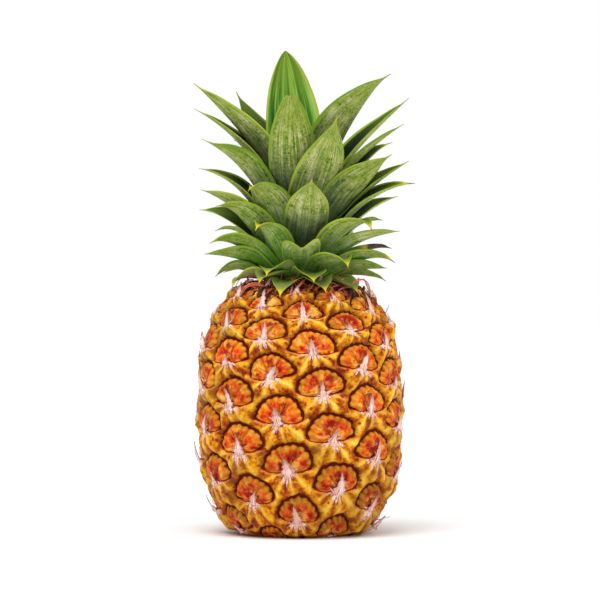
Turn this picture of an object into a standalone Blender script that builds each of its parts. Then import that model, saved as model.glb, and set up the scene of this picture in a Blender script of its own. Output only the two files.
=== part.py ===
"""A ripe pineapple, picked and standing on its base.

Three pieces that come apart on the real one: the fruit with its eyes and their bracts, the cut
stalk let into its base, and the leafy crown, whose short stem plugs into the top of the fruit.
Metres, +Z up. The origin is the middle of the spot that the fruit rests on.
"""

from bisect import bisect
from math import atan, atan2, cos, degrees, exp, hypot, pi, radians, sin, tau
from random import Random

import bmesh
import bpy
from mathutils import Vector

MM = 0.001
GAP = 0.3 * MM

# The fruit's outline is a barrel: a superellipse that is cut flat at the top and at the base
FRUIT_RADIUS = 55.7 * MM
WIDEST_Z = 65.0 * MM
LOWER_REACH, LOWER_POWER = 75.0 * MM, 2.3
UPPER_REACH, UPPER_POWER = 80.0 * MM, 3.0
SEAT_Z = 143.0 * MM
SIDE_STEPS = 160

# The eyes follow one spiral. Every 5th, 8th and 13th eye are neighbours.
EYE_TURN = radians(-138.06)
EYES_PER_ROW = 13
FIRST_EYE, LAST_EYE = -58, 40
EYE_ZERO_ANGLE = radians(-11.8)
EYE_ZERO_DEPTH = 88.6 * MM
ROW_HEIGHT = 25.8 * MM
ROW_GROWTH = 1.37 * MM
RIM_MARGIN = 2.5 * MM

# One eye, as shares of its width across and of its row upwards from the bract's root
FAN_HALF_WIDTH, FAN_TOP = 0.48, 0.56
BULGE_HALF_WIDTH, BULGE_TOP = 0.31, 0.43
BULGE_HEIGHT = 2.7 * MM
FAN_DIP = 0.9 * MM
BRACT_HEIGHT = 2.6 * MM
BRACT_TIP_UP, BRACT_TIP_HEIGHT = 0.38, 4.8 * MM
FLATTEN_OVER = 9.0 * MM

# Stalk, cut flush with the base
STALK_RADIUS = 12.5 * MM
STALK_DEPTH = 9.0 * MM
STALK_BEVEL = 0.6 * MM

# Crown: a short stem that carries the leaves, the youngest at its top
PLUG_RADIUS, PLUG_DEPTH = 14.0 * MM, 7.0 * MM
STEM_RADIUS, STEM_TOP_RADIUS = 21.0 * MM, 7.0 * MM
STEM_HEIGHT = 42.0 * MM
LEAF_THICKNESS = 1.0 * MM
LEAF_ROOT = 4.0 * MM
LEAF_ROWS = (0.0, 0.2, 0.42, 0.64, 0.84, 1.0)
LOWEST_TIP_Z, HIGHEST_TIP_Z = 138.0 * MM, 266.0 * MM
LEAF_SEED = 7

# Front and side leaves: azimuth from the front, reach and height of the tip in millimetres, flat
# width in millimetres, the tip's tilt from upright, and the roll that turns a leaf's back to the
# front. Those tilted past 90 degrees arch over.
NOTED_LEAVES = (
    (-15, 45, 138, 16, 126, 0), (20, 44, 141, 17, 108, 0), (46, 47, 141, 17, 98, 0),
    (-61, 46, 143, 15, 128, 10), (-32, 45, 146, 17, 108, 0), (95, 51, 147, 15, 100, 5),
    (-86, 49, 148, 16, 138, 10), (9, 51, 146, 19, 104, 0), (-25, 46, 150, 19, 112, 0),
    (80, 51, 153, 16, 92, 10), (34, 51, 156, 22, 106, 0), (75, 57, 157, 18, 112, 10),
    (1, 57, 163, 22, 100, 0), (-75, 57, 161, 18, 92, 12), (100, 55, 166, 17, 88, 0),
    (-69, 56, 168, 21, 104, 14), (69, 61, 174, 21, 84, 12), (-110, 53, 175, 15, 112, 0),
    (-36, 44, 176, 22, 118, 0), (46, 59, 176, 24, 122, 5), (-63, 54, 188, 23, 100, 14),
    (-98, 59, 187, 21, 88, -20), (-40, 48, 200, 26, 96, 5), (100, 58, 195, 20, 74, -14),
    (-80, 58, 198, 20, 74, 14), (7, 55, 203, 25, 42, 0), (88, 67, 203, 22, 82, -18),
    (-97, 59, 211, 22, 80, -15), (92, 63, 215, 23, 60, -15), (57, 62, 217, 26, 62, 16),
    (-64, 56, 224, 19, 84, 8), (-76, 58, 227, 20, 66, 6), (105, 57, 229, 22, 60, -14),
    (23, 53, 238, 29, 24, 0), (98, 61, 237, 24, 58, 4), (-88, 61, 245, 25, 62, -12),
    (-6, 51, 249, 28, 26, 0), (85, 63, 251, 25, 48, -14), (-80, 62, 259, 27, 52, 20),
    (61, 59, 263, 30, 62, 22), (-132, 51, 258, 27, 30, 0), (-162, 28, 281, 35, 12, 0),
)

# The leaves of the back and of the heart follow the golden angle
LEAF_TURN = radians(137.508)
BACK_LEAVES, BACK_FROM = 68, radians(112)
HEART_LEAVES, HEART_FROM_Z, HEART_TO_Z = 5, 240.0 * MM, 218.0 * MM

RING_SIDES = 28
EDGE_SIDES = 60


def blend(x, stops):
    """Straight-line value at x between stops, a list of (x, value)."""
    x = min(max(x, stops[0][0]), stops[-1][0])
    for (x0, y0), (x1, y1) in zip(stops, stops[1:]):
        if x <= x1:
            return y0 + (y1 - y0) * (x - x0) / (x1 - x0)


def barrel_radius(z):
    upper = z > WIDEST_Z
    reach, power = (UPPER_REACH, UPPER_POWER) if upper else (LOWER_REACH, LOWER_POWER)
    share = abs(z - WIDEST_Z) / reach
    return FRUIT_RADIUS * (1 - share**power) ** (1 / power)


class Meridian:
    """The fruit's outline from the middle of its top to the middle of its base.

    depth is the distance along it, with 0 where the side starts below the seat.
    """

    def __init__(self):
        plug, stalk = PLUG_RADIUS + GAP, STALK_RADIUS + GAP
        floor_z, roof_z = SEAT_Z - PLUG_DEPTH - GAP, STALK_DEPTH + GAP
        top = [(0, floor_z), (plug, floor_z), (plug, SEAT_Z)]
        heights = [SEAT_Z * (0.5 + 0.5 * cos(pi * i / SIDE_STEPS)) for i in range(SIDE_STEPS + 1)]
        side = [(barrel_radius(z), z) for z in heights]
        base = [(stalk, 0), (stalk, roof_z), (0, roof_z)]
        self.points = top + side + base
        self.depths, self.bands = [0.0], [0.0]
        for (r0, z0), (r1, z1) in zip(self.points, self.points[1:]):
            step = hypot(r1 - r0, z1 - z0)
            self.depths.append(self.depths[-1] + step)
            self.bands.append(self.bands[-1] + step / max((r0 + r1) / 2, MM))
        start = self.depths[len(top)]
        self.depths = [d - start for d in self.depths]
        self.side_length = self.depths[len(top) + SIDE_STEPS]

    def segment(self, depth):
        i = min(max(bisect(self.depths, depth) - 1, 0), len(self.points) - 2)
        span = self.depths[i + 1] - self.depths[i]
        return i, (depth - self.depths[i]) / span

    def latitude(self, depth):
        """Where the depth lies on a unit sphere that the fruit maps to with its angles kept."""
        i, share = self.segment(depth)
        band = self.bands[i] + share * (self.bands[i + 1] - self.bands[i])
        return pi / 2 - 2 * atan(exp(band - self.bands[-1] / 2))

    def place(self, angle, depth, height):
        """The point at this angle and depth, raised by height along the surface's normal."""
        i, share = self.segment(depth)
        (r0, z0), (r1, z1) = self.points[i], self.points[i + 1]
        span = hypot(r1 - r0, z1 - z0)
        r = r0 + share * (r1 - r0) - height * (z1 - z0) / span
        z = z0 + share * (z1 - z0) + height * (r1 - r0) / span
        return Vector((r * sin(angle), -r * cos(angle), z))


def row_depth(row):
    """Depth of a row of eyes: they grow from the crown to the base."""
    return EYE_ZERO_DEPTH + ROW_HEIGHT * row + ROW_GROWTH * row * row


def arch(half_width, top, angles, height):
    return [(half_width * cos(radians(a)), top * sin(radians(a)), height) for a in angles]


def eye_points():
    """(across, up, height) of one eye: the fan of sepals in its groove, and the bract below."""
    groove = arch(FAN_HALF_WIDTH, FAN_TOP, (0, 36, 72, 108, 144, 180), 0)
    bulge = arch(BULGE_HALF_WIDTH, BULGE_TOP, (22, 65, 115, 158), BULGE_HEIGHT)
    dip = [(0, 0.2, FAN_DIP)]
    crease = [(-0.2, 0.04, FAN_DIP), (0.2, 0.04, FAN_DIP)]
    wings = [(-0.24, -0.05, 0.8 * BRACT_HEIGHT), (0.24, -0.05, 0.8 * BRACT_HEIGHT)]
    root = [(-0.06, -0.03, BRACT_HEIGHT), (0.06, -0.03, BRACT_HEIGHT), (0, 0.1, 1.9 * MM)]
    keel = [(-0.18, -0.2, 1.6 * MM), (0.18, -0.2, 1.6 * MM), (0, -0.3, 1.3 * MM)]
    return groove + bulge + dip + crease + wings + root + keel


def fruit_vertices(meridian):
    """(place on the unit sphere, place on the fruit) of every vertex."""
    found = []

    def add(angle, depth, raised_to):
        latitude = meridian.latitude(depth)
        sphere = Vector((cos(latitude) * sin(angle), -cos(latitude) * cos(angle), sin(latitude)))
        found.append((sphere, raised_to))

    def add_ring(depth, sides):
        for i in range(sides):
            angle = tau * i / sides
            add(angle, depth, meridian.place(angle, depth, 0))

    for depth in (meridian.depths[0], meridian.depths[-1]):
        add(0, depth, meridian.place(0, depth, 0))
    for depth in (meridian.depths[1], meridian.depths[2], meridian.depths[-2], meridian.depths[-3]):
        add_ring(depth, RING_SIDES)
    for depth in (0, meridian.side_length):
        add_ring(depth, EDGE_SIDES)

    def on_side(depth):
        return RIM_MARGIN < depth < meridian.side_length - RIM_MARGIN

    def relief(depth, height):
        """Full height on the side, fading out where the fruit rests on its base."""
        return height * min(1.0, (meridian.side_length - depth) / FLATTEN_OVER)

    for eye in range(FIRST_EYE, LAST_EYE + 1):
        angle = EYE_ZERO_ANGLE + EYE_TURN * eye
        row = eye / EYES_PER_ROW
        for across, up, height in eye_points():
            a, depth = angle + across * tau / EYES_PER_ROW, row_depth(row - up)
            if on_side(depth):
                add(a, depth, meridian.place(a, depth, relief(depth, height)))
        root_depth, tip_depth = row_depth(row - 0.02), row_depth(row - BRACT_TIP_UP)
        if on_side(root_depth) and on_side(tip_depth):
            tip_height = relief(root_depth, BRACT_TIP_HEIGHT)
            add(angle, root_depth, meridian.place(angle, tip_depth, tip_height))
    return found


def make_fruit():
    """A skin is stretched over the vertices on a unit sphere, and each is then put in place."""
    vertices = fruit_vertices(Meridian())
    bm = bmesh.new()
    placed = {bm.verts.new(sphere): place for sphere, place in vertices}
    bmesh.ops.convex_hull(bm, input=bm.verts[:])
    for vertex, place in placed.items():
        vertex.co = place
    bmesh.ops.delete(bm, geom=[v for v in bm.verts if not v.link_faces], context="VERTS")
    bmesh.ops.recalc_face_normals(bm, faces=bm.faces[:])
    return new_object("fruit", bm)


def make_stalk():
    """The peduncle's stump, a plain round plug whose cut end lies flush with the base."""
    bm = bmesh.new()
    bmesh.ops.create_cone(
        bm,
        cap_ends=True,
        segments=RING_SIDES,
        radius1=STALK_RADIUS,
        radius2=STALK_RADIUS - STALK_BEVEL,
        depth=STALK_DEPTH,
    )
    stalk = new_object("stalk", bm)
    stalk.location.z = STALK_DEPTH / 2
    return stalk


def make_stem():
    """The crown's stem: a plug in the fruit's top, a collar on its seat and a tapering core."""
    profile = [
        (0, SEAT_Z - PLUG_DEPTH),
        (PLUG_RADIUS, SEAT_Z - PLUG_DEPTH),
        (PLUG_RADIUS, SEAT_Z + GAP),
        (STEM_RADIUS, SEAT_Z + GAP),
        (STEM_RADIUS, SEAT_Z + 4 * MM),
        (STEM_TOP_RADIUS, SEAT_Z + STEM_HEIGHT),
        (0, SEAT_Z + STEM_HEIGHT + 3 * MM),
    ]
    bm = bmesh.new()
    vertices = [bm.verts.new((r, 0, z)) for r, z in profile]
    for a, b in zip(vertices, vertices[1:]):
        bm.edges.new((a, b))
    stem = new_object("crown", bm)
    turned = stem.modifiers.new("turned", "SCREW")
    turned.steps = turned.render_steps = 16
    turned.use_merge_vertices = True
    turned.merge_threshold = 0.00001
    turned.use_normal_calculate = True
    return stem


def leaf_plans():
    """(azimuth, reach, tip height, width, start tilt, end tilt, roll, root radius, root height)."""
    draw = Random(LEAF_SEED)
    tips = [
        (radians(azimuth), reach * MM, height * MM, width * MM, radians(end), radians(roll))
        for azimuth, reach, height, width, end, roll in NOTED_LEAVES
    ]
    for i in range(BACK_LEAVES):
        azimuth = (LEAF_TURN * i + pi) % tau - pi
        share = i / (BACK_LEAVES - 1)
        height = blend(share, [(0, 140 * MM), (0.8, 222 * MM), (1, 232 * MM)])
        spread = blend(share, [(0, 0.88), (0.25, 1), (0.45, 0.95), (0.6, 0.8), (1, 0.7)])
        reach = 57 * MM * spread * draw.uniform(0.95, 1.05)
        width = blend(share, [(0, 16 * MM), (1, 28 * MM)]) * draw.uniform(0.92, 1.08)
        end = radians(blend(share, [(0, 125), (0.4, 90), (1, 50)]) + draw.uniform(-14, 14))
        if abs(azimuth) > BACK_FROM:
            tips.append((azimuth, reach, height, width, end, 0.0))
    plans = [with_root(*tip) for tip in tips]
    for i in range(HEART_LEAVES):
        share = i / (HEART_LEAVES - 1)
        height = HEART_FROM_Z + share * (HEART_TO_Z - HEART_FROM_Z)
        reach = blend(share, [(0, 22 * MM), (1, 7 * MM)])
        root = STEM_TOP_RADIUS * (1 - 0.6 * share)
        plans.append((
            LEAF_TURN * i, reach, height, 17 * MM, 0.05, 0.25, 0.0, root, SEAT_Z + STEM_HEIGHT
        ))
    return plans


def with_root(azimuth, reach, height, width, end, roll):
    """Low tips belong to old leaves, which root low on the stem and start out flatter."""
    age = min(max((height - LOWEST_TIP_Z) / (HIGHEST_TIP_Z - LOWEST_TIP_Z), 0), 1)
    start = radians(blend(age, [(0, 66), (0.1, 58), (0.3, 46), (0.5, 34), (0.8, 19), (1, 9)]))
    root_radius = STEM_RADIUS + age * (STEM_TOP_RADIUS - STEM_RADIUS)
    root_height = SEAT_Z + blend(age, [(0, 2 * MM), (1, STEM_HEIGHT - 2 * MM)])
    return azimuth, reach, height, width, start, end, roll, root_radius, root_height


def leaf_width(x):
    """Share of the full width at the share x of the length: broad, then an ogive to a spine."""
    if x < 0.42:
        return 0.8 + 0.2 * sin(pi / 2 * x / 0.42)
    share = min((x - 0.42) / 0.58, 1.0)
    return max((1 - share**2.1) ** 0.9, 0.045)


def leaf_middle(plan, x):
    """(radius, height, tilt) at the share x of a leaf's middle line, a curve to its tip."""
    _, reach, height, _, start, end, _, root_radius, root_height = plan
    tip = Vector((reach, height))
    head, tail = Vector((sin(start), cos(start))), Vector((sin(end), cos(end)))
    root = Vector((root_radius, root_height)) - head * LEAF_ROOT
    pull = 0.38 * (tip - root).length
    a, b, c, d = root, root + head * pull, tip - tail * pull, tip
    y = 1 - x
    point = a * y**3 + b * 3 * y * y * x + c * 3 * y * x * x + d * x**3
    along = (b - a) * y * y + (c - b) * 2 * y * x + (d - c) * x * x
    return point.x, point.y, atan2(along.x, along.y)


def leaf_point(plan, x, u):
    """A point of a blade at the share x of its length and u from -1 to 1 across."""
    azimuth, _, _, width, _, _, roll, root_radius, _ = plan
    r, z, tilt = leaf_middle(plan, x)
    outward = Vector((sin(azimuth), -cos(azimuth), 0))
    across = Vector((cos(azimuth), sin(azimuth), 0))
    upward = Vector((0, 0, 1))
    inner = upward * sin(tilt) - outward * cos(tilt)
    clasp = degrees(min(0.4 * width / root_radius, 1.0))
    cup = radians(blend(x, [(0, clasp), (0.4, 42), (0.8, 40), (1, 60)]))
    bend = width * leaf_width(x) / 2 / sin(cup)
    turn = (roll if azimuth < 0 else -roll) * min(1.0, 3 * x)
    level = across * cos(turn) + inner * sin(turn)
    face = inner * cos(turn) - across * sin(turn)
    middle = outward * r + upward * z
    return middle + level * bend * sin(u * cup) + face * bend * (1 - cos(u * cup))


def make_leaf(plan):
    bm = bmesh.new()
    rows = len(LEAF_ROWS) - 1
    bmesh.ops.create_grid(bm, x_segments=2, y_segments=rows, size=1)
    for vertex in bm.verts:
        x = LEAF_ROWS[round((vertex.co.y + 1) / 2 * rows)]
        vertex.co = leaf_point(plan, x, vertex.co.x)
    leaf = new_object("leaf", bm)
    thick = leaf.modifiers.new("thick", "SOLIDIFY")
    thick.thickness = LEAF_THICKNESS
    thick.offset = 0
    return leaf


def new_object(name, bm):
    mesh = bpy.data.meshes.new(name)
    bm.to_mesh(mesh)
    bm.free()
    obj = bpy.data.objects.new(name, mesh)
    bpy.context.scene.collection.objects.link(obj)
    return obj


def put_in(collection, obj):
    for other in obj.users_collection:
        other.objects.unlink(obj)
    collection.objects.link(obj)


def new_collection(name):
    collection = bpy.data.collections.new(name)
    bpy.context.scene.collection.children.link(collection)
    return collection


def apply_modifiers(obj):
    graph = bpy.context.evaluated_depsgraph_get()
    obj.data = bpy.data.meshes.new_from_object(obj.evaluated_get(graph))
    obj.modifiers.clear()


def keep_outer_skin(obj):
    """Fills the hollows that the fused leaves close off, by dropping every shell but the largest."""
    bm = bmesh.new()
    bm.from_mesh(obj.data)
    left, shells = set(bm.verts), []
    while left:
        shell, todo = set(), [left.pop()]
        while todo:
            vertex = todo.pop()
            shell.add(vertex)
            near = {edge.other_vert(vertex) for edge in vertex.link_edges} & left
            left -= near
            todo += near
        shells.append(shell)
    shells.sort(key=len)
    inner = [vertex for shell in shells[:-1] for vertex in shell]
    bmesh.ops.delete(bm, geom=inner, context="VERTS")
    bm.to_mesh(obj.data)
    bm.free()


def make_crown():
    crown = make_stem()
    leaves = new_collection("leaves")
    for plan in leaf_plans():
        put_in(leaves, make_leaf(plan))
    apply_modifiers(crown)
    for leaf in leaves.objects:
        apply_modifiers(leaf)
    fused = crown.modifiers.new("fused", "BOOLEAN")
    fused.operation = "UNION"
    fused.operand_type = "COLLECTION"
    fused.collection = leaves
    fused.solver = "MANIFOLD"
    apply_modifiers(crown)
    for leaf in list(leaves.objects):
        bpy.data.objects.remove(leaf)
    bpy.data.collections.remove(leaves)
    keep_outer_skin(crown)
    return crown


def paint(obj, name, colour, roughness):
    material = bpy.data.materials.new(name)
    material.use_nodes = True
    shader = material.node_tree.nodes["Principled BSDF"]
    shader.inputs["Base Color"].default_value = (*colour, 1)
    shader.inputs["Roughness"].default_value = roughness
    shader.inputs["Metallic"].default_value = 0
    obj.data.materials.clear()
    obj.data.materials.append(material)


def main():
    for obj in list(bpy.data.objects):
        bpy.data.objects.remove(obj)
    pineapple = new_collection("pineapple")
    fruit, stalk, crown = make_fruit(), make_stalk(), make_crown()
    for obj in (fruit, stalk, crown):
        put_in(pineapple, obj)
    paint(fruit, "ripe_rind", (0.62, 0.25, 0.03), 0.5)
    paint(stalk, "cut_fibre", (0.50, 0.36, 0.18), 0.85)
    paint(crown, "leaf_green", (0.16, 0.25, 0.07), 0.55)


main()
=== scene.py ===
"""The looks of a ripe pineapple: rind, papery bracts, leaves, stalk and a white studio."""

from functools import partial
from math import atan2, cos, degrees, pi, radians, sin, tau
from random import Random

import bpy
import numpy as np
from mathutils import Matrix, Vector


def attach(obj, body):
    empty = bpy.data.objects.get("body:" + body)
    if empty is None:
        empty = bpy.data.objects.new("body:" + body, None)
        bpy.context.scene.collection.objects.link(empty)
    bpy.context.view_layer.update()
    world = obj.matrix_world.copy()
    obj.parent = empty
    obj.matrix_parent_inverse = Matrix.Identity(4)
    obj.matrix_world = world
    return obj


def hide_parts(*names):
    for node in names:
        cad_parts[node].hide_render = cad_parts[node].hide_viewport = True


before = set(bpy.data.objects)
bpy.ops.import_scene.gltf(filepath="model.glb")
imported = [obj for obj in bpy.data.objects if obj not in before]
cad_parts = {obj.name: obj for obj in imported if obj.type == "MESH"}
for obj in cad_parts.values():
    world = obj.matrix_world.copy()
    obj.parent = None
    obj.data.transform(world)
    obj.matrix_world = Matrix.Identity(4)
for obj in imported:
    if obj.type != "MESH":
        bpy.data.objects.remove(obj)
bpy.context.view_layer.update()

MM = 0.001

# The fruit's outline and the rule of its eyes, as in the part
FRUIT_RADIUS = 55.7 * MM
WIDEST_Z = 65.0 * MM
LOWER_REACH, LOWER_POWER = 75.0 * MM, 2.3
UPPER_REACH, UPPER_POWER = 80.0 * MM, 3.0
SEAT_Z = 143.0 * MM
EYE_TURN = radians(-138.06)
EYES_PER_ROW = 13
FIRST_EYE, LAST_EYE = -58, 40
EYE_ZERO_ANGLE = radians(-11.8)
EYE_ZERO_DEPTH = 88.6 * MM
ROW_HEIGHT = 25.8 * MM
ROW_GROWTH = 1.37 * MM
PLUG_RADIUS, STALK_RADIUS, STALK_DEPTH = 14.3 * MM, 12.5 * MM, 9.0 * MM

# One eye in millimetres, from its bract's root: the fan of sepals is a rounded D
FAN_HALF_WIDTH = 14.1
FAN_CENTRE, FAN_TOP, FAN_BOTTOM = 1.6, 14.0, -2.4
ARCH_POWER, FOOT_POWER = 1.9, 2.2
PLEATS = 9
# An eye's cell in millimetres: its full width and height, and the widest that it's drawn
CELL_ACROSS, CELL_DOWN, CELL_WIDEST = 27.6, 24.5, 28.4
RIND_HEIGHT = 2.7
GROOVE_WIDTH = 1.3
FLATTEN_OVER = 9.0 * MM

SKIN_AROUND, SKIN_DOWN = 512, 180

SPEAR_THICKNESS, SLIVER_THICKNESS, STRIP_THICKNESS = 0.35 * MM, 0.3 * MM, 0.25 * MM
STRAND_STEPS = 12
STRAND_SHARES = [i / STRAND_STEPS for i in range(STRAND_STEPS + 1)]
DRY_STRIPS = 300
# The long loops at the rim's left and right: azimuth, depth, length, width in mm, direction and rise
RIM_LOOPS = (
    (-46, 5, 27, 1.9, -1.1, 1.0), (-56, 11, 24, 1.4, -0.6, 1.1), (-38, 8, 19, 4.4, -1.4, 0.6),
    (48, 13, 27, 1.8, 1.0, 1.2), (58, 14, 22, 1.4, 0.6, 1.2), (38, 12, 18, 1.6, 1.4, 0.8),
)

# The leaves, as in the part: azimuth, reach, tip height, flat width, tip's tilt, roll to the front
NOTED_LEAVES = (
    (-15, 45, 138, 16, 126, 0), (20, 44, 141, 17, 108, 0), (46, 47, 141, 17, 98, 0),
    (-61, 46, 143, 15, 128, 10), (-32, 45, 146, 17, 108, 0), (95, 51, 147, 15, 100, 5),
    (-86, 49, 148, 16, 138, 10), (9, 51, 146, 19, 104, 0), (-25, 46, 150, 19, 112, 0),
    (80, 51, 153, 16, 92, 10), (34, 51, 156, 22, 106, 0), (75, 57, 157, 18, 112, 10),
    (1, 57, 163, 22, 100, 0), (-75, 57, 161, 18, 92, 12), (100, 55, 166, 17, 88, 0),
    (-69, 56, 168, 21, 104, 14), (69, 61, 174, 21, 84, 12), (-110, 53, 175, 15, 112, 0),
    (-36, 44, 176, 22, 118, 0), (46, 59, 176, 24, 122, 5), (-63, 54, 188, 23, 100, 14),
    (-98, 59, 187, 21, 88, -20), (-40, 48, 200, 26, 96, 5), (100, 58, 195, 20, 74, -14),
    (-80, 58, 198, 20, 74, 14), (7, 55, 203, 25, 42, 0), (88, 67, 203, 22, 82, -18),
    (-97, 59, 211, 22, 80, -15), (92, 63, 215, 23, 60, -15), (57, 62, 217, 26, 62, 16),
    (-64, 56, 224, 19, 84, 8), (-76, 58, 227, 20, 66, 6), (105, 57, 229, 22, 60, -14),
    (23, 53, 238, 29, 24, 0), (98, 61, 237, 24, 58, 4), (-88, 61, 245, 25, 62, -12),
    (-6, 51, 249, 28, 26, 0), (85, 63, 251, 25, 48, -14), (-80, 62, 259, 27, 52, 20),
    (61, 59, 263, 30, 62, 22), (-132, 51, 258, 27, 30, 0), (-162, 28, 281, 35, 12, 0),
)
# The noted leaves, by number, whose tip isn't a plain green spine
TIP_KINDS = {
    0: "yellow", 1: "yellow", 2: "curled", 3: "curled", 4: "yellow", 5: "brown", 7: "yellow", 8: "yellow",
    10: "curled", 11: "brown", 12: "notched", 14: "dead", 15: "brown", 18: "yellow", 19: "curled",
    22: "curled", 26: "brown", 32: "curled", 36: "blunt", 41: "broad",
}
LEAF_TURN = radians(137.508)
BACK_LEAVES, BACK_FROM = 68, radians(112)
HEART_LEAVES, HEART_FROM_Z, HEART_TO_Z = 5, 240.0 * MM, 218.0 * MM
STEM_RADIUS, STEM_TOP_RADIUS, STEM_HEIGHT = 21.0 * MM, 7.0 * MM, 42.0 * MM
LOWEST_TIP_Z, HIGHEST_TIP_Z = 138.0 * MM, 266.0 * MM
LEAF_ROOT = 4.0 * MM
LEAF_SEED = 7
LEAF_ROWS, LEAF_COLUMNS = 40, 12

# A long lens, level with the middle of the pineapple
CAMERA_DISTANCE = 1.6
CAMERA_Z = 134.7 * MM
FRAME_WIDTH = 346.8 * MM

# Light of the white surround, then each lamp: azimuth from the front, elevation, spread, strength
SURROUND_LIGHT = 0.56
STUDIO_LIGHTS = (("key", -28, 64, 38, 1.95), ("fill", 50, 48, 60, 0.85))
FLOOR_HALF = 12.0


def hex_colour(text):
    """An sRGB hex colour as linear RGBA."""
    parts = [int(text[i : i + 2], 16) / 255 for i in (0, 2, 4)]
    linear = [p / 12.92 if p <= 0.04045 else ((p + 0.055) / 1.055) ** 2.4 for p in parts]
    return (*linear, 1.0)


def blend(x, stops):
    """Straight-line value at x between stops, a list of (x, value)."""
    x = min(max(x, stops[0][0]), stops[-1][0])
    for (x0, y0), (x1, y1) in zip(stops, stops[1:]):
        if x <= x1:
            return y0 + (y1 - y0) * (x - x0) / (x1 - x0)


def smooth(x, low, high):
    """Smooth step from 0 at low to 1 at high, for an array."""
    t = np.clip((x - low) / (high - low), 0, 1)
    return t * t * (3 - 2 * t)


def show(name, points, faces, material, node, fields=None, corner_fields=None):
    """Adds a smooth mesh piece that stands for a CAD node and moves with it."""
    mesh = bpy.data.meshes.new(name)
    mesh.from_pydata([tuple(p) for p in points], [], [tuple(f) for f in faces])
    for domain, group in (("POINT", fields), ("CORNER", corner_fields)):
        for field, values in (group or {}).items():
            values = np.asarray(values, np.float32)
            kind, key = ("FLOAT_VECTOR", "vector") if values.ndim > 1 else ("FLOAT", "value")
            mesh.attributes.new(field, kind, domain).data.foreach_set(key, values.ravel())
    mesh.polygons.foreach_set("use_smooth", [True] * len(mesh.polygons))
    mesh.materials.append(material)
    piece = bpy.data.objects.new(name, mesh)
    bpy.context.scene.collection.objects.link(piece)
    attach(piece, "root")
    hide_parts(node)
    return piece


def node(tree, kind, *values, out=0, stops=None, inputs=None, **settings):
    """Adds a shader node and gives its output; an input is a value, a hex colour or another's output."""
    made = tree.nodes.new("ShaderNode" + kind)
    for key, value in settings.items():
        setattr(made, key, value)
    for key, value in (*enumerate(values), *(inputs or {}).items()):
        if isinstance(value, bpy.types.NodeSocket):
            tree.links.new(value, made.inputs[key])
        else:
            made.inputs[key].default_value = hex_colour(value) if isinstance(value, str) else value
    if stops:
        ramp = made.color_ramp
        while len(ramp.elements) < len(stops):
            ramp.elements.new(1.0)
        for element, (position, colour) in zip(ramp.elements, stops):
            element.position = position
            element.color = hex_colour(colour)
    return made.outputs if out is None else made.outputs[out]


# The setting of a MapRange node that eases in and out, and the shader's sockets for a plain finish
SOFTLY = {"interpolation_type": "SMOOTHSTEP"}
FINISH = {"colour": "Base Color", "roughness": "Roughness", "ior": "IOR", "specular": "Specular IOR Level"}


def new_material(name, **finish):
    """A material with its shader's plain settings, and what adds nodes and links to it."""
    material = bpy.data.materials.new(name)
    material.use_nodes = True
    tree = material.node_tree
    shader = tree.nodes["Principled BSDF"]
    for socket, value in finish.items():
        shader.inputs[FINISH[socket]].default_value = value
    return material, shader, partial(node, tree), tree.links.new


def barrel_radius(z):
    upper = z > WIDEST_Z
    reach, power = (UPPER_REACH, UPPER_POWER) if upper else (LOWER_REACH, LOWER_POWER)
    share = abs(z - WIDEST_Z) / reach
    return FRUIT_RADIUS * (1 - share**power) ** (1 / power)


class Outline:
    """The fruit's side from the seat down to its base, by depth along it."""

    def __init__(self, steps=2000):
        z = SEAT_Z * (0.5 + 0.5 * np.cos(pi * np.arange(steps + 1) / steps))
        r = np.array([barrel_radius(height) for height in z])
        span = np.hypot(np.diff(r), np.diff(z))
        self.r, self.z = r, z
        self.depths = np.concatenate([[0], np.cumsum(span)])
        self.length = self.depths[-1]
        self.normal_r = np.interp(self.depths, (self.depths[1:] + self.depths[:-1]) / 2, -np.diff(z) / span)
        self.normal_z = np.interp(self.depths, (self.depths[1:] + self.depths[:-1]) / 2, np.diff(r) / span)

    def at(self, depth):
        fields = (self.r, self.z, self.normal_r, self.normal_z)
        return [np.interp(depth, self.depths, field) for field in fields]

    def place(self, angle, depth, height):
        """Points at these angles and depths, raised by height along the surface's normal."""
        r, z, normal_r, normal_z = self.at(depth)
        r, z = r + height * normal_r, z + height * normal_z
        return np.stack([r * np.sin(angle), -r * np.cos(angle), z], -1)


OUTLINE = Outline()


def row_depth(row):
    return EYE_ZERO_DEPTH + ROW_HEIGHT * row + ROW_GROWTH * row * row


def row_at(depth):
    root = np.sqrt(ROW_HEIGHT**2 + 4 * ROW_GROWTH * (depth - EYE_ZERO_DEPTH))
    return (root - ROW_HEIGHT) / (2 * ROW_GROWTH)


def eye_scale(eye):
    """Millimetres per column and per row at an eye; both get smaller near the crown."""
    row = eye / EYES_PER_ROW
    radius = OUTLINE.at(np.clip(row_depth(row), 0, OUTLINE.length))[0]
    across = tau * radius / EYES_PER_ROW / MM
    down = (ROW_HEIGHT + 2 * ROW_GROWTH * row) / MM
    return across, down


def eye_local(eye, angle, depth):
    """Millimetres right of and above an eye's root, at the eye's own full size."""
    row = eye / EYES_PER_ROW
    across, down = eye_scale(eye)
    turned = (angle - EYE_ZERO_ANGLE - EYE_TURN * eye + pi) % tau - pi
    u = turned / tau * EYES_PER_ROW * min(across, CELL_WIDEST)
    v = (row - row_at(depth)) * down
    return u / min(across / CELL_ACROSS, 1.0), v / min(down / CELL_DOWN, 1.0)


def eye_dice(eye):
    draw = Random(1000 + eye)
    return [draw.random() for _ in range(6)]


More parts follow.
